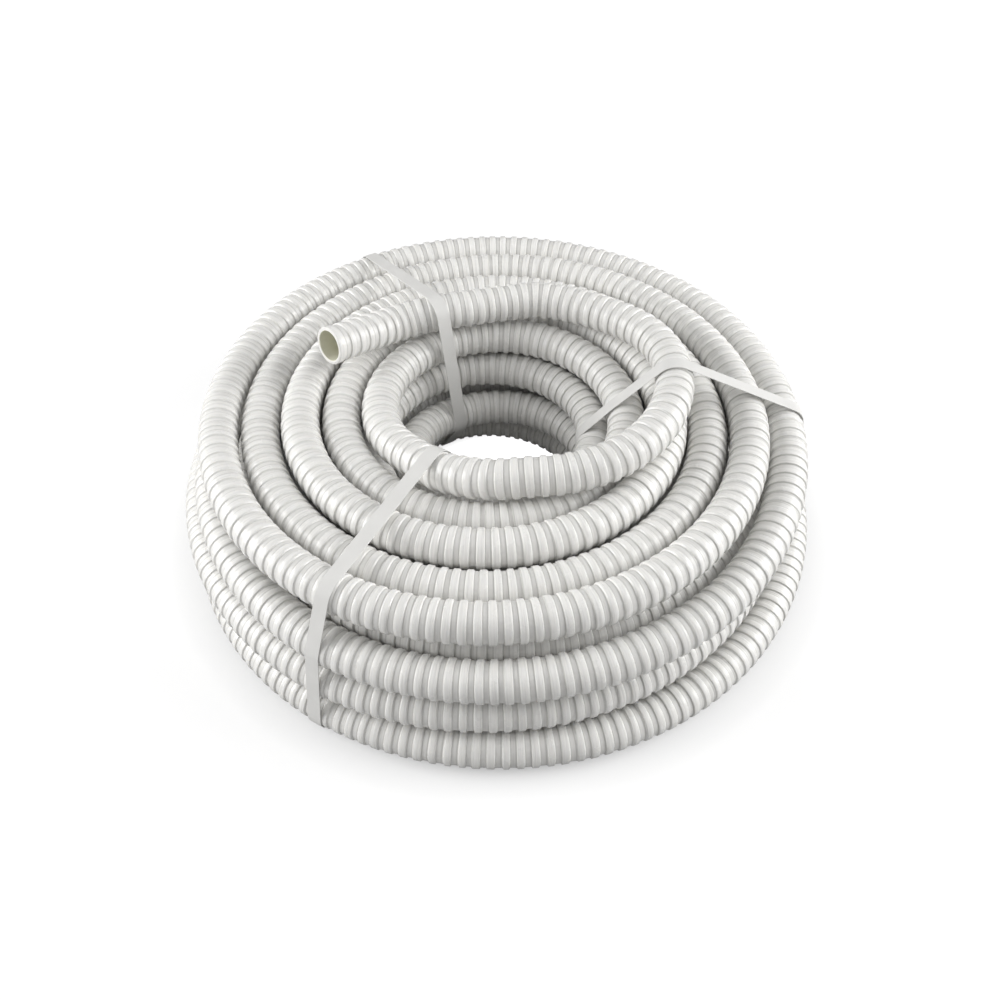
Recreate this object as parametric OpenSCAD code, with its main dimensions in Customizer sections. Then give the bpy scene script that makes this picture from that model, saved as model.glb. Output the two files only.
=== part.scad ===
// Coil of ribbed pool vacuum hose, held by three packing straps.
//
// One length of hose is wound in four layers, and its last turn lies loose on top and ends in
// the open mouth. The coil is round about Z, stands on z = 0 and is seen from -Y.
// Winding is counted in turns, clockwise from above, from the front of the top layer downwards.

/* [Hose] */
// Bore
hose_bore = 32; // [28:0.5:38]
// Thickness of the wall from the bore to the ribs' crowns
hose_wall = 4; // [3.4:0.1:4.6]
// Distance from one rib to the next
rib_pitch = 13; // [11:0.5:15]
// Length of a rib's crown
crown_length = 7.5; // [5:0.5:8]
// Depth of the grooves between the ribs
groove_depth = 1.2; // [0.6:0.1:1.6]
// Length of the sloped flank between a crown and a groove
flank_length = 0.8; // [0.4:0.1:1.2]

/* [Coil] */
// Radius to the hose's centre line where the top layer starts, at the front
inner_radius = 108; // [104:1:125]
// Free space between neighbouring turns
turn_gap = 1.1; // [1:0.1:1.5]
// Height by which every other column of turns stands above the mean
column_rise = 5; // [2:0.5:7]

/* [Straps] */
// Width of a strap
strap_width = 15; // [10:0.5:18]
// Thickness of a strap
strap_thick = 0.8; // [0.5:0.1:1.2]
// Clearance between a strap and the hose
strap_gap = 0.4; // [0.3:0.1:0.8]
// Length of the welded lap that closes a strap
lap_length = 45; // [30:1:60]

/* [Hidden] */

hose_colour = [0.86, 0.86, 0.84];
strap_colour = [0.93, 0.94, 0.94];

hose_od = hose_bore + 2 * hose_wall;
hose_radius = hose_od / 2;
layers = 4;
// Turns are this far apart outwards, and layers this far apart upwards
column_pitch = hose_od + turn_gap;
layer_pitch = column_pitch + column_rise / (layers - 1);

// The underside of the hose is pressed flat by a tenth of its diameter
flat_z = strap_thick + strap_gap;
bottom_z = flat_z + 0.4 * hose_od;
top_z = bottom_z + (layers - 1) * layer_pitch;

// Where the spiral reverses: [turns wound, column reached], column 0 being the innermost
column_marks = [[0, 0], [4.875, 4.95], [10.25, -0.45], [15.65, 5.55], [21, -0.1]];
// The hose climbs a layer over half a turn about each reversal but the last
climb_turns = 0.5;

rings_per_turn = 24;
coil_sides = 6;
free_sides = 8;

// Route of the loose last turn: [azimuth, hose diameters outwards from the inner radius,
// hose diameters above the top layer]
free_route = [
    [-125, 0.14, 0.37],
    [-105, 0.34, 0.62],
    [-90, 0.51, 0.79],
    [-75, 0.65, 0.89],
    [-60, 0.95, 0.95],
    [-45, 1.3, 1.03],
    [-30, 1.6, 1.11],
    [-15, 1.8, 1.15],
    [0, 1.92, 1.15],
    [15, 1.92, 1.13],
    [30, 1.68, 1.12],
    [50, 1.28, 1.05],
    [70, 0.98, 1.03],
    [90, 0.55, 1.05],
    [105, 0.42, 1.08],
    [120, 0.54, 1.1],
    [140, 1, 1]
];
// The open end of the hose, given the same way
mouth_place = [167, 1.68, 1.41];
// The hose is smooth for at least this length at its open end
least_end_band = 8;
// Steps of the loose turn's curve between two points of its route
curve_steps = 12;

// Azimuths of the straps, a third of a turn apart
strap_front_left_angle = -120;
strap_back_left_angle = 120;
strap_right_angle = 0;
// Sides of the circles that a strap is rounded by
strap_corner_sides = 36;

function unit(v) = v / norm(v);
function total(list) = len(list) == 0 ? 0 : list * [for (x = list) 1];
function eased(x) = let (u = min(1, max(0, x))) u * u * (3 - 2 * u);
function polar(azimuth, radius, height) = [radius * cos(azimuth), radius * sin(azimuth), height];

// ---- Route of the wound turns

function column_at(turn) = lookup(turn, column_marks);
function climbed(turn) = total([for (i = [1 : layers - 1])
    eased((turn - column_marks[i][0]) / climb_turns + 0.5)]);
function height_at(turn) = let (layer = layers - 1 - climbed(turn))
    bottom_z + layer * (layer_pitch + column_rise / (layers - 1) * cos(180 * column_at(turn)));
function coil_point(turn) =
    polar(-90 - 360 * turn, inner_radius + column_pitch * column_at(turn), height_at(turn));

// The last point of a run, one hose diameter straight ahead at the same radius
function straight_end(turn) = let (p = coil_point(turn), r = norm([p.x, p.y]))
    polar(-90 - 360 * turn - 2 * asin(hose_radius / r), r, p.z);

// The wound part starts on the left, where the loose turn lifts off
coil_start = 5 / 24;
coil_end = column_marks[layers][0];
wound_points = [for (i = [round(coil_start * rings_per_turn) : coil_end * rings_per_turn])
    coil_point(i / rings_per_turn)];

// ---- Route of the loose last turn

function free_point(place) = polar(place[0], inner_radius + place[1] * hose_od, top_z + place[2] * hose_od);

route_points = [for (place = free_route) free_point(place)];
mouth_face = free_point(mouth_place);
mouth_dir = unit(mouth_face - route_points[len(route_points) - 1]);
mouth_start = mouth_face - hose_od * mouth_dir;
lift_dir = unit(route_points[0] - wound_points[0]);
// The wound part and the loose turn meet here, one diameter along a straight stretch
joint_point = wound_points[0] + hose_od * lift_dir;
lift_point = joint_point + hose_od * lift_dir;

// Points that the curve passes through, and its direction at each
knots = [for (i = [0 : len(route_points) - 1]) i == 0 ? lift_point : route_points[i]];
last_knot = len(knots) - 1;
function knot_slope(i) =
    i == 0 ? norm(knots[1] - knots[0]) * lift_dir
    : i == last_knot ? norm(knots[i] - knots[i - 1]) * mouth_dir
    : (knots[i + 1] - knots[i - 1]) / 2;
function curve_point(i, u) =
    (1 + 2 * u) * (1 - u) * (1 - u) * knots[i] + u * (1 - u) * (1 - u) * knot_slope(i)
    + u * u * (3 - 2 * u) * knots[i + 1] - u * u * (1 - u) * knot_slope(i + 1);
free_curve = concat(
    [joint_point],
    [for (i = [0 : last_knot - 1]) for (k = [0 : curve_steps - 1]) curve_point(i, k / curve_steps)],
    [knots[last_knot], mouth_start]);

// The curve measured along its length, so that the ribs come out evenly spaced
free_steps = [for (i = [1 : len(free_curve) - 1]) norm(free_curve[i] - free_curve[i - 1])];
free_marks = [for (i = [0 : len(free_steps)]) i == 0 ? 0 : total([for (k = [0 : i - 1]) free_steps[k]])];
free_length = free_marks[len(free_marks) - 1];
function free_at(s) = [for (axis = [0 : 2])
    lookup(s, [for (i = [0 : len(free_curve) - 1]) [free_marks[i], free_curve[i][axis]]])];
free_ribs = round(free_length / rib_pitch);
free_rib_pitch = free_length / free_ribs;

// ---- Tubes

function route_dir(points, i) =
    unit(points[min(i + 1, len(points) - 1)] - points[max(i - 1, 0)]);
// Corners of the ring round point i of a route, none of them below the flat underside
function ring(points, i, radius, sides) =
    let (dir = route_dir(points, i), side = unit(cross(dir, [0, 0, 1])), up = cross(side, dir))
    [for (k = [0 : sides - 1])
        let (p = points[i] + radius * (cos(360 * k / sides) * side + sin(360 * k / sides) * up))
        [p.x, p.y, max(p.z, flat_z)]];
// Two triangles for each side between ring i and the next one
function side_faces(rings, sides, first) = [for (i = [0 : rings - 2]) for (k = [0 : sides - 1])
    let (a = first + i * sides + k, b = first + i * sides + (k + 1) % sides)
    each [[a, b, b + sides], [a, b + sides, a + sides]]];
function end_faces(sides, first) = [for (k = [1 : sides - 2]) [first, first + k + 1, first + k]];
// A flat ring of triangles between a tube's outer and inner edge
function rim_faces(sides, outer, inner) = [for (k = [0 : sides - 1]) let (n = (k + 1) % sides)
    each [[outer + k, inner + k, inner + n], [outer + k, inner + n, outer + n]]];
function turned(faces) = [for (f = faces) [f[2], f[1], f[0]]];

module solid_tube(points, radius, sides) {
    rings = len(points);
    polyhedron(
        [for (i = [0 : rings - 1]) each ring(points, i, radius, sides)],
        concat(
            side_faces(rings, sides, 0),
            end_faces(sides, 0),
            turned(end_faces(sides, (rings - 1) * sides))));
}

// A tube with a bore whose outside steps between crown and groove, two rings to a rib
module ribbed_tube(ribs, pitch, sides) {
    outer_points = [for (i = [0 : 2 * ribs]) free_at(i == 2 * ribs ? free_length
        : floor(i / 2) * pitch + (i % 2) * crown_length)];
    inner_points = [for (i = [0 : ribs]) free_at(i * pitch)];
    outer_rings = len(outer_points);
    inner_rings = len(inner_points);
    inner_first = outer_rings * sides;
    polyhedron(
        concat(
            [for (i = [0 : outer_rings - 1])
                each ring(outer_points, i, hose_radius - (i % 2) * groove_depth, sides)],
            [for (i = [0 : inner_rings - 1])
                each ring(inner_points, i, hose_bore / 2 / cos(180 / sides), sides)]),
        concat(
            side_faces(outer_rings, sides, 0),
            turned(side_faces(inner_rings, sides, inner_first)),
            rim_faces(sides, 0, inner_first),
            turned(rim_faces(sides, (outer_rings - 1) * sides, inner_first + (inner_rings - 1) * sides))));
}

// ---- Sub-parts

module hose_coil() {
    color(hose_colour)
        solid_tube(
            concat([joint_point], wound_points, [straight_end(coil_end)]),
            hose_radius, coil_sides);
}

module hose_free_end() {
    color(hose_colour)
        ribbed_tube(free_ribs, free_rib_pitch, free_sides);
}

// Half outline of the last stretch, [radius, distance from its start]: whole ribs, then a smooth band
function mouth_outline() =
    let (ribs = floor((hose_od - least_end_band) / rib_pitch), groove_radius = hose_radius - groove_depth)
    concat(
        [[hose_bore / 2, 0]],
        [for (i = [0 : ribs - 1]) let (z = i * rib_pitch) each [
            [hose_radius, z],
            [hose_radius, z + crown_length - flank_length],
            [groove_radius, z + crown_length],
            [groove_radius, z + rib_pitch - flank_length]]],
        [[hose_radius, ribs * rib_pitch], [hose_radius, hose_od], [hose_bore / 2, hose_od]]);

module hose_mouth() {
    color(hose_colour)
        translate(mouth_start)
            rotate([0, acos(mouth_dir.z), atan2(mouth_dir.y, mouth_dir.x)])
                rotate_extrude($fn = 96)
                    polygon(mouth_outline());
}

// A point of the wound tube's own centre line, which is straight between its rings
function chord_point(turn) = let (i = floor(turn * rings_per_turn), u = turn * rings_per_turn - i)
    (1 - u) * coil_point(i / rings_per_turn) + u * coil_point((i + 1) / rings_per_turn);
// Centres of the hose under the middle and both edges of a strap, as [distance outwards, height]
function seen_from(azimuth, p) = [p.x * cos(azimuth) + p.y * sin(azimuth), p.z];
function wound_section(azimuth) = [for (k = [0 : coil_end - 1], edge = [-1 : 1])
    let (
        middle_turn = k + ((270 - azimuth) % 360) / 360,
        radius = inner_radius + column_pitch * column_at(middle_turn))
    if (middle_turn >= coil_start)
        seen_from(azimuth, chord_point(middle_turn + edge * strap_width / 2 / (2 * PI * radius)))];
// Distance of a point from the strap's plane
function beside(azimuth, p) = p.y * cos(azimuth) - p.x * sin(azimuth);
// Where the loose turn passes the middle and both edges of a strap; a slant covers more of its length
function free_section(azimuth) = [for (i = [1 : len(free_curve) - 1], edge = [-1 : 1])
    let (
        a = free_curve[i - 1],
        b = free_curve[i],
        from_a = beside(azimuth, a) - edge * strap_width / 2,
        from_b = beside(azimuth, b) - edge * strap_width / 2,
        slant = acos(abs(beside(azimuth, unit(b - a)))),
        beyond = edge * sign(from_b - from_a) * hose_radius * tan(slant / 2) / cos(slant))
    if (from_a * from_b <= 0 && seen_from(azimuth, a)[0] > 0)
        seen_from(azimuth, a + (b - a) * from_a / (from_a - from_b) + beyond * unit(b - a))];

// Taut round circles about the centres, and cut level at the given height
module taut_outline(centres, radius, lowest) {
    difference() {
        hull()
            for (c = centres)
                translate(c)
                    circle(radius, $fn = strap_corner_sides);
        translate([0, lowest - hose_od])
            square([max([for (c = centres) c.x]) + hose_od, hose_od]);
    }
}

module strap(azimuth) {
    centres = concat(wound_section(azimuth), free_section(azimuth));
    inside = hose_radius + strap_gap;
    middle = (min([for (c = centres) c.x]) + max([for (c = centres) c.x])) / 2;
    color(strap_colour)
        rotate([90, 0, azimuth])
            translate([0, 0, -strap_width / 2]) {
                linear_extrude(strap_width)
                    difference() {
                        taut_outline(centres, inside + strap_thick, 0);
                        taut_outline(centres, inside, strap_thick);
                    }
                // The welded lap lies on the inside of the run under the coil
                translate([middle - lap_length / 2, strap_thick / 2])
                    cube([lap_length, strap_thick / 2 + strap_gap / 2, strap_width]);
            }
}

module strap_front_left() {
    strap(strap_front_left_angle);
}

module strap_back_left() {
    strap(strap_back_left_angle);
}

module strap_right() {
    strap(strap_right_angle);
}

// The middle of the coil's outline, which the origin lies under
coil_xs = [for (p = wound_points) p.x];
coil_ys = [for (p = wound_points) p.y];
coil_middle = [(min(coil_xs) + max(coil_xs)) / 2, (min(coil_ys) + max(coil_ys)) / 2, 0];

module placed() {
    translate(-coil_middle)
        children();
}

// ---- Measured on the routes

function segment_distance(p, a, b) =
    let (ab = b - a, u = min(1, max(0, (p - a) * ab / (ab * ab))))
    norm(p - a - u * ab);
last_wound = len(wound_points) - 1;
wound_gap = min([for (i = [0 : last_wound]) for (j = [i + rings_per_turn : rings_per_turn : last_wound])
    min(segment_distance(wound_points[i], wound_points[j - 1], wound_points[j]),
        segment_distance(wound_points[j], wound_points[i], wound_points[i + 1]))]) - hose_od;
free_gap = min([for (p = free_curve) for (j = [2 : last_wound])
    segment_distance(p, wound_points[j - 1], wound_points[j])]) - hose_od;
wound_length = total([for (i = [1 : last_wound]) norm(wound_points[i] - wound_points[i - 1])]);
echo(least_gap_between_wound_turns = wound_gap);
echo(least_gap_under_loose_turn = free_gap);
echo(hose_length = wound_length + free_length + 3 * hose_od);
echo(mouth_centre = mouth_face - coil_middle, mouth_direction = mouth_dir);
echo(coil_middle = coil_middle, top_layer_height = top_z);

placed() hose_coil();
placed() hose_free_end();
placed() hose_mouth();
placed() strap_front_left();
placed() strap_back_left();
placed() strap_right();
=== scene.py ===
"""Looks of the coiled pool vacuum hose and its three packing straps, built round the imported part.

Everything is in metres in the part's own frame: +Z up, the coil's axis near the origin, its front at -Y.
The hose's route and sizes repeat those of the part's source.
"""

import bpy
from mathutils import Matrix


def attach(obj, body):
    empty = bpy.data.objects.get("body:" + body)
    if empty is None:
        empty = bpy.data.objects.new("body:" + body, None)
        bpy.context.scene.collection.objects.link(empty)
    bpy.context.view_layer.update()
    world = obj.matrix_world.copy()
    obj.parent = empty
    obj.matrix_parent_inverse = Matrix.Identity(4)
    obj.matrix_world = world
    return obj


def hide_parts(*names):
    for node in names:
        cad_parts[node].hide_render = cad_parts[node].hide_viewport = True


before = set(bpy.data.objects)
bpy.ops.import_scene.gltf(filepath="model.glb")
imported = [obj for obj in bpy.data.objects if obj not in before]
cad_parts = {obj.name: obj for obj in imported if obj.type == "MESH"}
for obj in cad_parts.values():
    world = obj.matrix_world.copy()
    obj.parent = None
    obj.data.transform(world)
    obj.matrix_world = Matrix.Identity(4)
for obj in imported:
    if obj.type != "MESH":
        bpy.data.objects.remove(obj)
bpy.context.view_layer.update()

import math
import random

import bpy
import numpy as np
from mathutils import Vector

# ---------------------------------------------------------------- sizes of the part

HOSE_OD = 0.040
HOSE_BORE = 0.032
RIB_PITCH = 0.013
CROWN_LENGTH = 0.0078
GROOVE_DEPTH = 0.0015
HOSE_RADIUS = HOSE_OD / 2

# The wound turns: radius of the innermost one's centre line, and the gap to the next turn
INNER_RADIUS = 0.108
TURN_GAP = 0.0011
# In the top layer, even columns stand this much above the middle height and odd ones this much below
COLUMN_RISE = 0.005
LAYERS = 4
COLUMN_PITCH = HOSE_OD + TURN_GAP
LAYER_PITCH = COLUMN_PITCH + COLUMN_RISE / (LAYERS - 1)

STRAP_WIDTH = 0.015
STRAP_THICK = 0.0008
STRAP_GAP = 0.0004
# Azimuth of each strap in degrees, from +X
STRAP_ANGLES = {"strap_front_left": -120, "strap_back_left": 120, "strap_right": 0}

# The lowest turns are pressed flat by PRESSED_FLAT, down to FLAT_Z, just over the straps' runs under the coil
PRESSED_FLAT = 0.1 * HOSE_OD
FLAT_Z = STRAP_THICK + STRAP_GAP
BOTTOM_Z = FLAT_Z + HOSE_RADIUS - PRESSED_FLAT
TOP_Z = BOTTOM_Z + (LAYERS - 1) * LAYER_PITCH

# The spiral's start, the places where it reverses, and its end: (turns wound, column reached)
COLUMN_MARKS = [(0, 0), (4.875, 4.95), (10.25, -0.45), (15.65, 5.55), (21, -0.1)]
# Turns over which the hose passes from one layer to the next one down
CLIMB_TURNS = 0.5
# The loose turn leaves the spiral here, counted in turns
COIL_START = 5 / 24
COIL_END = COLUMN_MARKS[-1][0]

# The loose last turn's centre line: azimuth in degrees, then hose diameters outwards from INNER_RADIUS
# and hose diameters above TOP_Z
FREE_ROUTE = [
    (-125, 0.14, 0.37),
    (-105, 0.34, 0.62),
    (-90, 0.51, 0.79),
    (-75, 0.65, 0.89),
    (-60, 0.95, 0.95),
    (-45, 1.3, 1.03),
    (-30, 1.6, 1.11),
    (-15, 1.8, 1.15),
    (0, 1.92, 1.15),
    (15, 1.92, 1.13),
    (30, 1.68, 1.12),
    (50, 1.28, 1.05),
    (70, 0.98, 1.03),
    (90, 0.55, 1.05),
    (105, 0.42, 1.08),
    (120, 0.54, 1.1),
    (140, 1, 1),
]
MOUTH_PLACE = (167, 1.68, 1.41)

# The coil's axis stands here, because the part's origin is under the middle of its outline
COIL_AXIS = np.array([-0.006963, -0.004171, 0])

# ---------------------------------------------------------------- camera

# The photograph's viewpoint. The lens and the sensor are in millimetres
CAMERA_ELEVATION = 47.5
CAMERA_DISTANCE = 1.155
CAMERA_AIM = COIL_AXIS + np.array([0.007, 0, 0.008])
CAMERA_LENS = 36
SENSOR_WIDTH = 36
VIEW_LIMIT = 20


def add_object(name, data):
    obj = bpy.data.objects.new(name, data)
    bpy.context.scene.collection.objects.link(obj)
    return obj


def look_at(obj, aim, distance, azimuth, elevation):
    """Stands the object off from its aim, facing it. The azimuth is from the front (-Y) towards +X."""
    a, e = math.radians(azimuth), math.radians(elevation)
    back = Vector((math.sin(a) * math.cos(e), -math.cos(a) * math.cos(e), math.sin(e)))
    obj.location = Vector(aim) + distance * back
    obj.rotation_euler = (-back).to_track_quat("-Z", "Y").to_euler()


def make_camera():
    data = bpy.data.cameras.new("camera")
    data.lens = CAMERA_LENS
    data.sensor_width = SENSOR_WIDTH
    data.clip_end = VIEW_LIMIT
    camera = add_object("camera", data)
    look_at(camera, CAMERA_AIM, CAMERA_DISTANCE, 0, CAMERA_ELEVATION)
    bpy.context.scene.camera = camera


# ---------------------------------------------------------------- the hose's route


# A small part of a turn, which gives the spiral's direction where the loose turn leaves it
START_PROBE = 0.001
# Steps between two places of FREE_ROUTE, steps to a turn, and the length of the route's own steps
FREE_STEPS = 24
TURN_STEPS = 240
ROUTE_STEP = 0.002
# The bend behind the mouth's straight stretch is softened over this reach, this far from the mouth
END_BEND_REACH = 0.03
END_BEND_AT = 2 * HOSE_OD + END_BEND_REACH / 2


def unit(v):
    return v / np.linalg.norm(v)


def polar(azimuth, radius, height):
    a = np.radians(azimuth)
    return COIL_AXIS + np.stack(np.broadcast_arrays(radius * np.cos(a), radius * np.sin(a), height), axis=-1)


def column_at(turn):
    """How many columns outwards from the innermost one the spiral has come."""
    turns, columns = zip(*COLUMN_MARKS)
    return np.interp(turn, turns, columns)


def eased(x):
    """A soft step from 0 to 1."""
    u = np.clip(x, 0, 1)
    return u * u * (3 - 2 * u)


def height_at(turn):
    passed = sum(eased((turn - mark[0]) / CLIMB_TURNS + 0.5) for mark in COLUMN_MARKS[1:-1])
    rise = COLUMN_RISE / (LAYERS - 1) * np.cos(np.pi * column_at(turn))
    return BOTTOM_Z + (LAYERS - 1 - passed) * (LAYER_PITCH + rise)


def coil_point(turn):
    turn = np.asarray(turn, float)
    return polar(-90 - 360 * turn, INNER_RADIUS + COLUMN_PITCH * column_at(turn), height_at(turn))


def free_point(place):
    return polar(place[0], INNER_RADIUS + place[1] * HOSE_OD, TOP_Z + place[2] * HOSE_OD)


def hermite(p, q, slope_p, slope_q, u):
    u = u[:, None]
    return (
        (1 + 2 * u) * (1 - u) ** 2 * p
        + u * (1 - u) ** 2 * slope_p
        + u * u * (3 - 2 * u) * q
        - u * u * (1 - u) * slope_q
    )


def free_curve():
    """The loose turn from where it leaves the wound turns to the mouth's face."""
    route = [free_point(place) for place in FREE_ROUTE]
    mouth_face = free_point(MOUTH_PLACE)
    mouth_dir = unit(mouth_face - route[-1])
    start, just_before = coil_point(COIL_START), coil_point(COIL_START + START_PROBE)
    knots = [start] + route
    slopes = [(knots[i + 1] - knots[i - 1]) / 2 for i in range(1, len(knots) - 1)]
    slopes.insert(0, np.linalg.norm(knots[1] - knots[0]) * unit(start - just_before))
    slopes.append(np.linalg.norm(knots[-1] - knots[-2]) * mouth_dir)
    steps = np.arange(FREE_STEPS) / FREE_STEPS
    runs = [hermite(knots[i], knots[i + 1], slopes[i], slopes[i + 1], steps) for i in range(len(knots) - 1)]
    return np.vstack([*runs, [knots[-1], mouth_face - HOSE_OD * mouth_dir, mouth_face]])


def arc_lengths(points):
    return np.concatenate([[0], np.cumsum(np.linalg.norm(np.diff(points, axis=0), axis=1))])


def interpolated(places, marks, rows):
    """The rows, which stand at the marks, worked out at the places."""
    return np.stack([np.interp(places, marks, column) for column in rows.T], axis=-1)


def softened(points, where, reach):
    """The route with its corner near the length `where` bent round over about `reach`."""
    marks = arc_lengths(points)
    smooth = points.copy()
    for i in np.flatnonzero(np.abs(marks - where) < 3 * reach):
        weight = np.exp(-0.5 * ((marks - marks[i]) / (reach / 2)) ** 2)
        average = (weight[:, None] * points).sum(axis=0) / weight.sum()
        share = eased((3 * reach - abs(marks[i] - where)) / reach)
        smooth[i] += share * (average - smooth[i])
    return smooth


def hose_route():
    """Centre line of the whole hose in even steps, from the mouth to the tail."""
    free = free_curve()[::-1]
    wound = coil_point(np.linspace(COIL_START, COIL_END, int((COIL_END - COIL_START) * TURN_STEPS)))
    # The tail goes on for one hose diameter past the last mark
    tail = wound[-1]
    sideways = tail - COIL_AXIS
    radius = math.hypot(sideways[0], sideways[1])
    tail_turn = math.degrees(2 * math.asin(HOSE_RADIUS / radius))
    tail_end = polar(-90 - 360 * COIL_END - tail_turn, radius, tail[2])
    corners = np.vstack([free, wound[1:], [tail_end]])
    marks = arc_lengths(corners)
    length = marks[-1]
    even = interpolated(np.linspace(0, length, int(length / ROUTE_STEP)), marks, corners)
    return softened(even, END_BEND_AT, END_BEND_REACH)


# ---------------------------------------------------------------- mesh helpers


def new_object(name, vertices, faces, uvs, smooth_angle):
    mesh = bpy.data.meshes.new(name)
    mesh.from_pydata(vertices.tolist(), [], faces)
    layer = mesh.uv_layers.new(name="UVMap")
    layer.data.foreach_set("uv", np.asarray(uvs, dtype=np.float32).ravel())
    mesh.polygons.foreach_set("use_smooth", [True] * len(mesh.polygons))
    mesh.update()
    mesh.set_sharp_from_angle(angle=math.radians(smooth_angle))
    return add_object(name, mesh)


def frames_along(points, places):
    """Centre, sideways and upward directions of the route at the given lengths along it."""
    marks = arc_lengths(points)
    directions = np.gradient(points, marks, axis=0)
    centres = interpolated(places, marks, points)
    dirs = interpolated(places, marks, directions)
    dirs /= np.linalg.norm(dirs, axis=1, keepdims=True)
    sides = np.cross(dirs, [0, 0, 1])
    sides /= np.linalg.norm(sides, axis=1, keepdims=True)
    return centres, sides, np.cross(sides, dirs)


# ---------------------------------------------------------------- hose

SIDES = 24
HOSE_SMOOTH_ANGLE = 30
# The least plain stretch of full diameter at either end
END_BAND = 0.010
BORE_DEPTH = 0.25
BORE_STEP = 0.008
RIM_ROUNDING = 0.0006
# Turns between these columns, with turns all round them, keep their ribs with fewer rings
HIDDEN_COLUMNS = (0.9, 3.9)

# A rib rises over FLANK to its edge, which is rounded by EDGE_SHARE of the groove's depth over EDGE_LENGTH
FLANK = 0.001
EDGE_LENGTH = 0.4 * FLANK
EDGE_SHARE = 0.1
# The rise from the last groove to the tail's plain end
LAST_FLANK = 0.0009
# The same places in shares of the pitch, for the material
FLANK_U = 0.08
EDGE_U = 0.11
HIDDEN_FLANK_U = 0.1
LAST_FLANK_U = 0.07
# Ribs vary in pitch, which drifts along the hose, in crown length and in depth, each by a share of its size
SHAKE_SEED = 7
PITCH_SHAKE = 0.04
PITCH_MEMORY = 0.7
CROWN_SHAKE = 0.1
DEPTH_SHAKE = (-0.15, 0.1)


def rib_stations(length, hidden):
    """Rings of the hose's outside as (length along it, radius, count of ribs so far)."""
    shake = random.Random(SHAKE_SEED)
    # The plain ends count as crowns, so that they get a crown's colour
    stations = [
        (0, HOSE_RADIUS - RIM_ROUNDING, 0),
        (0.4 * RIM_ROUNDING, HOSE_RADIUS - 0.3 * RIM_ROUNDING, 0.01),
        (RIM_ROUNDING, HOSE_RADIUS, 0.03),
    ]
    start = END_BAND - CROWN_LENGTH
    rib = 0
    drift = 0.0
    while start + RIB_PITCH < length - END_BAND:
        drift = PITCH_MEMORY * drift + shake.uniform(-PITCH_SHAKE, PITCH_SHAKE)
        pitch = RIB_PITCH * (1 + drift)
        crown = CROWN_LENGTH * (1 + shake.uniform(-CROWN_SHAKE, CROWN_SHAKE))
        depth = GROOVE_DEPTH * (1 + shake.uniform(*DEPTH_SHAKE))
        groove = HOSE_RADIUS - depth
        share = crown / pitch
        if hidden(start):
            rings = [(0.0, groove, 0.0), (FLANK, HOSE_RADIUS, HIDDEN_FLANK_U), (crown, HOSE_RADIUS, share)]
        else:
            edge = HOSE_RADIUS - EDGE_SHARE * depth
            top = FLANK + EDGE_LENGTH
            rings = [
                (0.0, groove, 0.0),
                (FLANK, edge, FLANK_U),
                (top, HOSE_RADIUS, EDGE_U),
                (crown - top, HOSE_RADIUS, share - EDGE_U),
                (crown - FLANK, edge, share - FLANK_U),
                (crown, groove, share),
            ]
        if rib == 0:
            # The plain stretch at the mouth is already at full diameter
            rings = rings[3:]
        stations += [(start + s, radius, rib + u) for s, radius, u in rings]
        start += pitch
        rib += 1
    stations += [
        (start, HOSE_RADIUS - GROOVE_DEPTH, rib),
        (start + LAST_FLANK, HOSE_RADIUS, rib + LAST_FLANK_U),
        (length - RIM_ROUNDING, HOSE_RADIUS, rib + 0.5),
        (length, HOSE_RADIUS - RIM_ROUNDING, rib + 0.55),
    ]
    return stations


def ring_points(route, places, radii):
    centres, sides, ups = frames_along(route, places)
    angles = 2 * np.pi * np.arange(SIDES) / SIDES
    radii = np.asarray(radii)[:, None, None]
    return centres[:, None, :] + radii * (
        np.cos(angles)[None, :, None] * sides[:, None, :] + np.sin(angles)[None, :, None] * ups[:, None, :]
    )


def bores(route, length):
    """Depths of the rings down a bore, then those rings from the mouth and from the tail."""
    depths = np.array([0, RIM_ROUNDING, *np.arange(BORE_STEP, BORE_DEPTH, BORE_STEP)])
    radii = np.full(len(depths), HOSE_BORE / 2)
    radii[0] += RIM_ROUNDING
    return depths, ring_points(route, depths, radii), ring_points(route, length - depths, radii)


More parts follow.
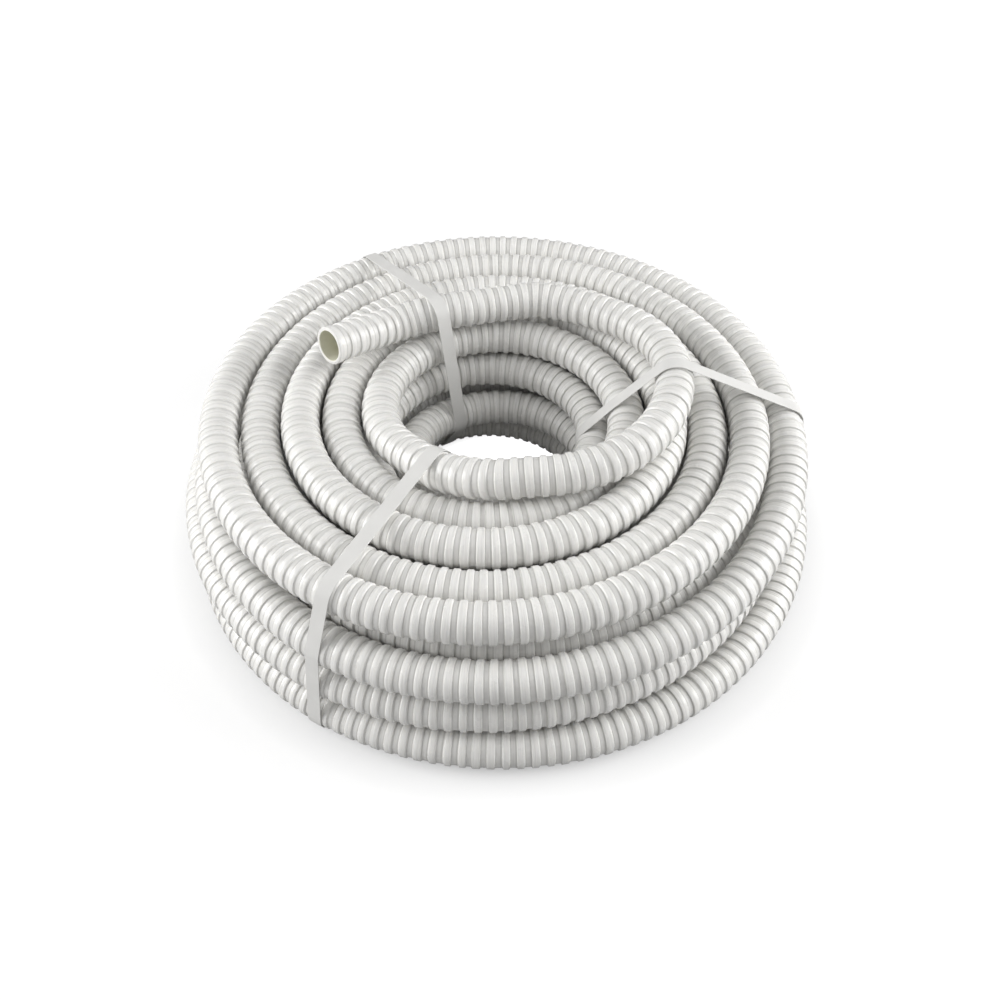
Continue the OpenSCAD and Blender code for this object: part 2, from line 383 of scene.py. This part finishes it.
def make_hose():
    route = hose_route()
    marks = arc_lengths(route)
    length = marks[-1]
    free_length = arc_lengths(free_curve())[-1]
    turn_marks = np.linspace(COIL_START, COIL_END, len(route))
    wound_marks = arc_lengths(coil_point(turn_marks)) + free_length

    def hidden(place):
        """Whether the hose at this length along it has other turns all round it."""
        turn = np.interp(place, wound_marks, turn_marks)
        inside = HIDDEN_COLUMNS[0] < column_at(turn) < HIDDEN_COLUMNS[1]
        middle_layer = COLUMN_MARKS[1][0] < turn < COLUMN_MARKS[3][0]
        return place > free_length and inside and middle_layer

    places, radii, ribs = zip(*rib_stations(length, hidden))
    outside = ring_points(route, places, radii)
    outside[:, :, 2] = np.maximum(outside[:, :, 2], FLAT_Z)
    depths, mouth_bore, tail_bore = bores(route, length)
    vertices = np.concatenate([rings.reshape(-1, 3) for rings in (outside, mouth_bore, tail_bore)])
    faces, uvs, inner = [], [], []

    def join(first, second, u_first, u_second, is_inner):
        """Quads from the ring that starts at vertex `first` to the one at `second`."""
        for k in range(SIDES):
            n = (k + 1) % SIDES
            faces.append((first + k, first + n, second + n, second + k))
            uvs.extend([
                (u_first, k / SIDES),
                (u_first, (k + 1) / SIDES),
                (u_second, (k + 1) / SIDES),
                (u_second, k / SIDES),
            ])
            inner.append(is_inner)

    for i in range(len(ribs) - 1):
        join(i * SIDES, (i + 1) * SIDES, ribs[i], ribs[i + 1], False)
    first_mouth = len(ribs) * SIDES
    first_tail = first_mouth + len(depths) * SIDES
    last_outside = (len(ribs) - 1) * SIDES
    join(first_mouth, 0, -1, 0, False)
    join(last_outside, first_tail, ribs[-1], ribs[-1] + 1, False)
    for i in range(len(depths) - 1):
        u = -1 - depths[i] / RIB_PITCH
        join(first_mouth + (i + 1) * SIDES, first_mouth + i * SIDES, u - 1, u, True)
        join(first_tail + i * SIDES, first_tail + (i + 1) * SIDES, u, u - 1, True)
    # Both bores are closed far inside
    for first, turned in ((first_mouth, False), (first_tail, True)):
        last = first + (len(depths) - 1) * SIDES
        loop = list(range(last, last + SIDES))
        faces.append(loop[::-1] if turned else loop)
        uvs.extend([(0, k / SIDES) for k in range(SIDES)])
        inner.append(True)

    hose = new_object("hose", vertices, faces, uvs, HOSE_SMOOTH_ANGLE)
    hose.data.materials.append(hose_material())
    hose.data.materials.append(bore_material())
    hose.data.polygons.foreach_set("material_index", np.array(inner, dtype=np.int32))
    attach(hose, "root")
    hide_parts("hose_coil", "hose_free_end", "hose_mouth")


# ---------------------------------------------------------------- straps

# Degrees between the points of a circle that the strap runs round, and the length of the strap's own steps
STRAP_ARC_STEP = 5
STRAP_STEP = 0.003
STRAP_EDGE = 0.0003
STRAP_SMOOTH_ANGLE = 40
# A corner of the outline whose cross product is below this, in square metres, counts as straight
STRAIGHT_ENOUGH = 1e-12


def strap_sections(angle):
    """Centres of the hose where the strap's plane cuts it, as (distance outwards, height)."""
    turns = np.arange(0, COIL_END) + ((270 - angle) % 360) / 360
    turns = turns[turns >= COIL_START]
    centres = [(INNER_RADIUS + COLUMN_PITCH * column_at(t), height_at(t)) for t in turns]
    a = math.radians(angle)
    points = free_curve() - COIL_AXIS
    outwards = points[:, 0] * math.cos(a) + points[:, 1] * math.sin(a)
    for edge in (-1, 0, 1):
        beside = points[:, 1] * math.cos(a) - points[:, 0] * math.sin(a) - edge * STRAP_WIDTH / 2
        for i in np.flatnonzero((beside[:-1] * beside[1:] <= 0) & (outwards[1:] > 0)):
            # The loose turn passes under the strap at a slant, so that more of its length is covered
            ahead = unit(points[i + 1] - points[i])
            slant = math.acos(min(1, abs(ahead[1] * math.cos(a) - ahead[0] * math.sin(a))))
            beyond = edge * HOSE_RADIUS * math.tan(slant / 2) / math.cos(slant)
            beyond *= np.sign(beside[i + 1] - beside[i])
            crossing = points[i] + (points[i + 1] - points[i]) * beside[i] / (beside[i] - beside[i + 1])
            x, y, z = crossing + beyond * ahead
            centres.append((x * math.cos(a) + y * math.sin(a), z))
    return np.array(centres)


def taut_loop(centres, radius):
    """Convex outline round circles about the centres, anticlockwise, cut level over the floor."""
    lowest = radius - HOSE_RADIUS - STRAP_GAP
    points = []
    for a in np.radians(np.arange(0, 360, STRAP_ARC_STEP)):
        points += [(x + radius * math.cos(a), max(z + radius * math.sin(a), lowest)) for x, z in centres]
    points = sorted(set((round(x, 7), round(z, 7)) for x, z in points))

    def half(ordered):
        chain = []
        for p in ordered:
            while len(chain) > 1:
                (ax, az), (bx, bz) = chain[-2:]
                if (bx - ax) * (p[1] - az) - (bz - az) * (p[0] - ax) > STRAIGHT_ENOUGH:
                    break
                chain.pop()
            chain.append(p)
        return chain[:-1]

    return np.array(half(points) + half(points[::-1]))


def make_strap(name, angle, material):
    middle = taut_loop(strap_sections(angle), HOSE_RADIUS + STRAP_GAP + STRAP_THICK / 2)
    outline = np.vstack([middle, middle[:1]])
    marks = arc_lengths(outline)
    count = int(marks[-1] / STRAP_STEP)
    step = marks[-1] / count
    places = np.arange(count) * step
    loop = interpolated(places, marks, outline)
    ahead = np.roll(loop, -1, axis=0) - np.roll(loop, 1, axis=0)
    ahead /= np.linalg.norm(ahead, axis=1, keepdims=True)
    outwards = np.stack([ahead[:, 1], -ahead[:, 0]], axis=-1)
    half_width, half_thick = STRAP_WIDTH / 2, STRAP_THICK / 2
    profile = [
        (-half_width, half_thick - STRAP_EDGE),
        (-half_width + STRAP_EDGE, half_thick),
        (0, half_thick),
        (half_width - STRAP_EDGE, half_thick),
        (half_width, half_thick - STRAP_EDGE),
    ]
    profile += [(-w, -t) for w, t in profile]
    a = math.radians(angle)
    radial = np.array([math.cos(a), math.sin(a), 0])
    across = np.array([math.sin(a), -math.cos(a), 0])
    vertices, faces, uvs = [], [], []
    for i in range(count):
        for w, t in profile:
            flat = loop[i] + t * outwards[i]
            point = COIL_AXIS + flat[0] * radial + np.array([0, 0, max(flat[1], 0)]) + w * across
            vertices.append(point)
    sides = len(profile)
    for i in range(count):
        j = (i + 1) % count
        for k in range(sides):
            n = (k + 1) % sides
            faces.append((i * sides + k, j * sides + k, j * sides + n, i * sides + n))
            u0, u1 = places[i], places[i] + step
            uvs.extend([(u0, profile[k][0]), (u1, profile[k][0]), (u1, profile[n][0]), (u0, profile[n][0])])
    strap = new_object(name + "_band", np.array(vertices), faces, uvs, STRAP_SMOOTH_ANGLE)
    strap.data.materials.append(material)
    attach(strap, "root")
    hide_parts(name)


# ---------------------------------------------------------------- materials


class Nodes:
    """A short way to write a material's node tree."""

    def __init__(self, material):
        material.use_nodes = True
        self.tree = material.node_tree
        self.shader = self.tree.nodes["Principled BSDF"]

    def add(self, kind, **settings):
        node = self.tree.nodes.new("ShaderNode" + kind)
        for name, value in settings.items():
            setattr(node, name, value)
        return node

    def link(self, source, target):
        self.tree.links.new(source, target)

    def put(self, values):
        """Sets the shader's own sockets, by name."""
        for name, value in values.items():
            self.shader.inputs[name].default_value = value

    def math(self, operation, a, b=None, clamp=False):
        node = self.add("Math", operation=operation, use_clamp=clamp)
        for socket, value in zip(node.inputs, (a, b)):
            if value is None:
                continue
            if isinstance(value, (int, float)):
                socket.default_value = value
            else:
                self.link(value, socket)
        return node.outputs[0]

    def mix(self, factor, a, b):
        node = self.add("Mix", data_type="RGBA")
        for socket, value in ((node.inputs[0], factor), (node.inputs[6], a), (node.inputs[7], b)):
            if isinstance(value, tuple):
                socket.default_value = (*value, 1)
            elif isinstance(value, (int, float)):
                socket.default_value = value
            else:
                self.link(value, socket)
        return node.outputs[2]

    def noise(self, vector, scale, detail, roughness):
        node = self.add("TexNoise")
        self.link(vector, node.inputs["Vector"])
        node.inputs["Scale"].default_value = scale
        node.inputs["Detail"].default_value = detail
        node.inputs["Roughness"].default_value = roughness
        return node.outputs["Fac"]

    def ramp(self, value, low, high, to_low=0.0, to_high=1.0):
        node = self.add("MapRange", clamp=True)
        self.link(value, node.inputs["Value"])
        for name, number in (("From Min", low), ("From Max", high), ("To Min", to_low), ("To Max", to_high)):
            node.inputs[name].default_value = number
        return node.outputs["Result"]

    def band(self, value, rise, fall):
        """1 after the rise and before the fall, which are both (from, to); 0 outside them."""
        return self.math("MULTIPLY", self.ramp(value, *rise), self.ramp(value, *fall, 1.0, 0.0))

    def bump(self, height, distance, strength, normal=None):
        node = self.add("Bump")
        node.inputs["Strength"].default_value = strength
        node.inputs["Distance"].default_value = distance
        self.link(height, node.inputs["Height"])
        if normal is not None:
            self.link(normal, node.inputs["Normal"])
        return node.outputs["Normal"]


CROWN_COLOUR = (0.805, 0.798, 0.775)
# The grooves take the crown's colour darkened as painted shade in the recess
GROOVE_SHADE_COLOUR = (0.745, 0.738, 0.715)
# Painted shade in the creases at the feet of the ribs
FOOT_SHADE_COLOUR = (0.555, 0.548, 0.525)
# Painted shade and tint down the bore: darker and more olive than the outside, for the shade inside and the
# light tinted by the wall
BORE_SHADE_COLOUR = (0.7, 0.69, 0.58)
STRAP_COLOUR = (0.79, 0.785, 0.765)
STREAK_TONE = 0.76
BORE_MOTTLE_TONE = 1.1
STRAP_MOTTLE_TONE = 0.95

# The values of a noise that show as mottle and as streaks, and the span of roughness that the mottle gives
MOTTLE_SPAN = (0.3, 0.7)
STREAK_SPAN = (0.46, 0.7)
HOSE_ROUGHNESS = (0.2, 0.32)
STRAP_ROUGHNESS = (0.42, 0.52)
GROOVE_ROUGHER = 0.08

# Streaks to a rib and round the hose, and how far they hide the colour under them
STREAKS_ALONG = 7.0
STREAKS_AROUND = 3.0
STREAK_SHARE = 0.6

# In shares of the pitch, from the start of a rib and from the end of its crown
CROWN_RISE = (0.0, 0.05)
CROWN_FALL = (-0.03, 0.02)
# Where the painted shade at a rib's feet lies
FOOT_SHADE_RISE = (-0.05, 0.0)
FOOT_SHADE_FALL = (0.03, 0.1)
NEXT_FOOT_SHADE = (0.92, 0.99)
NEXT_FOOT_SHADE_SHARE = 0.7

EMBOSS_PITCH = 0.0016


def toned(colour, factor):
    return tuple(factor * c for c in colour)


def hose_material():
    material = bpy.data.materials.new("hose_plastic")
    n = Nodes(material)
    split = n.add("SeparateXYZ")
    n.link(n.add("TexCoord").outputs["UV"], split.inputs[0])
    along, around = split.outputs[0], split.outputs[1]
    within_rib = n.math("FRACT", along)
    crown_end = CROWN_LENGTH / RIB_PITCH
    # 1 on a rib's crown, 0 in the groove after it
    crown = n.band(within_rib, CROWN_RISE, [crown_end + u for u in CROWN_FALL])
    mottle = n.noise(n.add("TexCoord").outputs["Object"], scale=35, detail=4, roughness=0.6)
    stretched = n.add("CombineXYZ")
    n.link(n.math("MULTIPLY", along, STREAKS_ALONG), stretched.inputs[0])
    n.link(n.math("MULTIPLY", around, STREAKS_AROUND), stretched.inputs[1])
    streaks = n.noise(stretched.outputs[0], scale=1.0, detail=3, roughness=0.55)
    # Painted shade: the grooves are darker than the crowns
    colour = n.mix(crown, GROOVE_SHADE_COLOUR, CROWN_COLOUR)
    # Painted shade darkens the feet of a rib, and less the foot before the next rib
    foot_shade = n.band(within_rib, [crown_end + u for u in FOOT_SHADE_RISE], [crown_end + u for u in FOOT_SHADE_FALL])
    foot_shade = n.math("ADD", foot_shade, n.ramp(within_rib, *NEXT_FOOT_SHADE, 0.0, NEXT_FOOT_SHADE_SHARE), clamp=True)
    colour = n.mix(foot_shade, colour, FOOT_SHADE_COLOUR)
    colour = n.mix(n.ramp(streaks, *STREAK_SPAN, 0.0, STREAK_SHARE), colour, toned(CROWN_COLOUR, STREAK_TONE))
    n.link(colour, n.shader.inputs["Base Color"])
    roughness = n.ramp(mottle, *MOTTLE_SPAN, *HOSE_ROUGHNESS)
    roughness = n.math("ADD", roughness, n.ramp(crown, 0, 1, GROOVE_ROUGHER, 0.0))
    n.link(roughness, n.shader.inputs["Roughness"])
    n.put({
        "IOR": 1.5,
        "Subsurface Weight": 0.12,
        "Subsurface Radius": (1.0, 0.95, 0.8),
        "Subsurface Scale": 0.003,
    })
    normal = n.bump(streaks, distance=0.0005, strength=0.7)
    normal = n.bump(mottle, distance=0.0006, strength=0.35, normal=normal)
    n.link(normal, n.shader.inputs["Normal"])
    return material


def bore_material():
    material = bpy.data.materials.new("hose_bore")
    n = Nodes(material)
    mottle = n.noise(n.add("TexCoord").outputs["Object"], scale=60, detail=3, roughness=0.5)
    # The bore's colour is painted shade and the tint of light through the wall
    colour = n.mix(n.ramp(mottle, *MOTTLE_SPAN), BORE_SHADE_COLOUR, toned(BORE_SHADE_COLOUR, BORE_MOTTLE_TONE))
    n.link(colour, n.shader.inputs["Base Color"])
    n.put({"Roughness": 0.35})
    n.link(n.bump(mottle, distance=0.0005, strength=0.4), n.shader.inputs["Normal"])
    return material


def strap_material():
    material = bpy.data.materials.new("strap_milky")
    n = Nodes(material)
    split = n.add("SeparateXYZ")
    n.link(n.add("TexCoord").outputs["UV"], split.inputs[0])
    # Faint diamond embossing
    along = n.math("MULTIPLY", split.outputs[0], 2 * math.pi / EMBOSS_PITCH)
    across = n.math("MULTIPLY", split.outputs[1], 2 * math.pi / EMBOSS_PITCH)
    wave = n.math(
        "MULTIPLY",
        n.math("SINE", n.math("ADD", along, across)),
        n.math("SINE", n.math("SUBTRACT", along, across)),
    )
    mottle = n.noise(n.add("TexCoord").outputs["Object"], scale=40, detail=3, roughness=0.5)
    shade = n.mix(n.ramp(mottle, *MOTTLE_SPAN), toned(STRAP_COLOUR, STRAP_MOTTLE_TONE), STRAP_COLOUR)
    n.link(shade, n.shader.inputs["Base Color"])
    n.link(n.ramp(mottle, *MOTTLE_SPAN, *STRAP_ROUGHNESS), n.shader.inputs["Roughness"])
    n.put({"Alpha": 0.88, "Specular IOR Level": 0.35})
    n.link(n.bump(wave, distance=0.0001, strength=0.3), n.shader.inputs["Normal"])
    return material


# ---------------------------------------------------------------- floor and light

FLOOR_SIZE = 12
# The floor's own grey, and its glow in the picture round the coil
FLOOR_ALBEDO = 0.45
FLOOR_GLOW = 0.56
# Between these distances from the middle the floor turns as white as the backdrop
FAR_GLOW = 1.0
FAR_FROM = 0.8
FAR_TO = 2.4
# The floor down in the coil's hole, where little light falls, glows by this much more
HOLE_GLOW = 0.75
HOLE_FROM = 0.104
HOLE_TO = 0.13
# Painted contact shadow: the floor under the coil and just past its foot glows by this much less
PAINTED_SHADOW_DEPTH = 0.16
PAINTED_SHADOW_FROM = 0.336
PAINTED_SHADOW_TO = 0.378

# The world lights the coil by the first, and shows in the picture with the second
WORLD_LIGHT = 0.39
BACKDROP_GLOW = 1.0

LAMP_AIM = (0, 0, 0.08)
LAMP_DISTANCE = 2.2
LAMP_SIZE = 1.5
# Name, azimuth from the front (-Y) towards +X, elevation, power in watts
LAMPS = [("left", -86, 22, 45), ("right", 91, 25, 46), ("top", 0, 75, 4)]


def make_floor():
    mesh = bpy.data.meshes.new("floor")
    h = FLOOR_SIZE / 2
    mesh.from_pydata([(-h, -h, 0), (h, -h, 0), (h, h, 0), (-h, h, 0)], [], [(0, 1, 2, 3)])
    floor = add_object("floor", mesh)
    material = bpy.data.materials.new("floor")
    n = Nodes(material)
    n.put({
        "Base Color": (FLOOR_ALBEDO, FLOOR_ALBEDO, FLOOR_ALBEDO, 1),
        "Roughness": 1.0,
        "Specular IOR Level": 0.0,
        "Emission Color": (1, 1, 1, 1),
    })
    length = n.add("VectorMath", operation="LENGTH")
    n.link(n.add("TexCoord").outputs["Object"], length.inputs[0])
    distance = length.outputs["Value"]
    in_hole = n.ramp(distance, HOLE_FROM, HOLE_TO, HOLE_GLOW, 0.0)
    # Painted contact shadow round the coil's foot
    shade = n.ramp(distance, PAINTED_SHADOW_FROM, PAINTED_SHADOW_TO, PAINTED_SHADOW_DEPTH, 0.0)
    white = n.ramp(distance, FAR_FROM, FAR_TO, FLOOR_GLOW, FAR_GLOW)
    glow = n.math("SUBTRACT", n.math("ADD", in_hole, white), shade)
    # The glow shows in the picture, but doesn't light the coil
    seen = n.add("LightPath").outputs["Is Camera Ray"]
    n.link(n.math("MULTIPLY", seen, glow), n.shader.inputs["Emission Strength"])
    mesh.materials.append(material)


def make_world():
    world = bpy.data.worlds.new("world")
    bpy.context.scene.world = world
    world.use_nodes = True
    tree = world.node_tree
    background = tree.nodes["Background"]
    path = tree.nodes.new("ShaderNodeLightPath")
    mix = tree.nodes.new("ShaderNodeMapRange")
    mix.inputs["To Min"].default_value = WORLD_LIGHT
    mix.inputs["To Max"].default_value = BACKDROP_GLOW
    tree.links.new(path.outputs["Is Camera Ray"], mix.inputs["Value"])
    tree.links.new(mix.outputs["Result"], background.inputs["Strength"])
    background.inputs["Color"].default_value = (1, 1, 1, 1)


def make_lamp(name, azimuth, elevation, power):
    """A square soft lamp that faces the coil."""
    data = bpy.data.lights.new(name, "AREA")
    data.shape = "SQUARE"
    data.size = LAMP_SIZE
    data.energy = power
    look_at(add_object(name, data), LAMP_AIM, LAMP_DISTANCE, azimuth, elevation)


make_camera()
make_hose()
milky = strap_material()
for strap_name, strap_angle in STRAP_ANGLES.items():
    make_strap(strap_name, strap_angle, milky)
make_floor()
make_world()
for lamp in LAMPS:
    make_lamp(*lamp)

bpy.context.scene.view_settings.view_transform = "Standard"
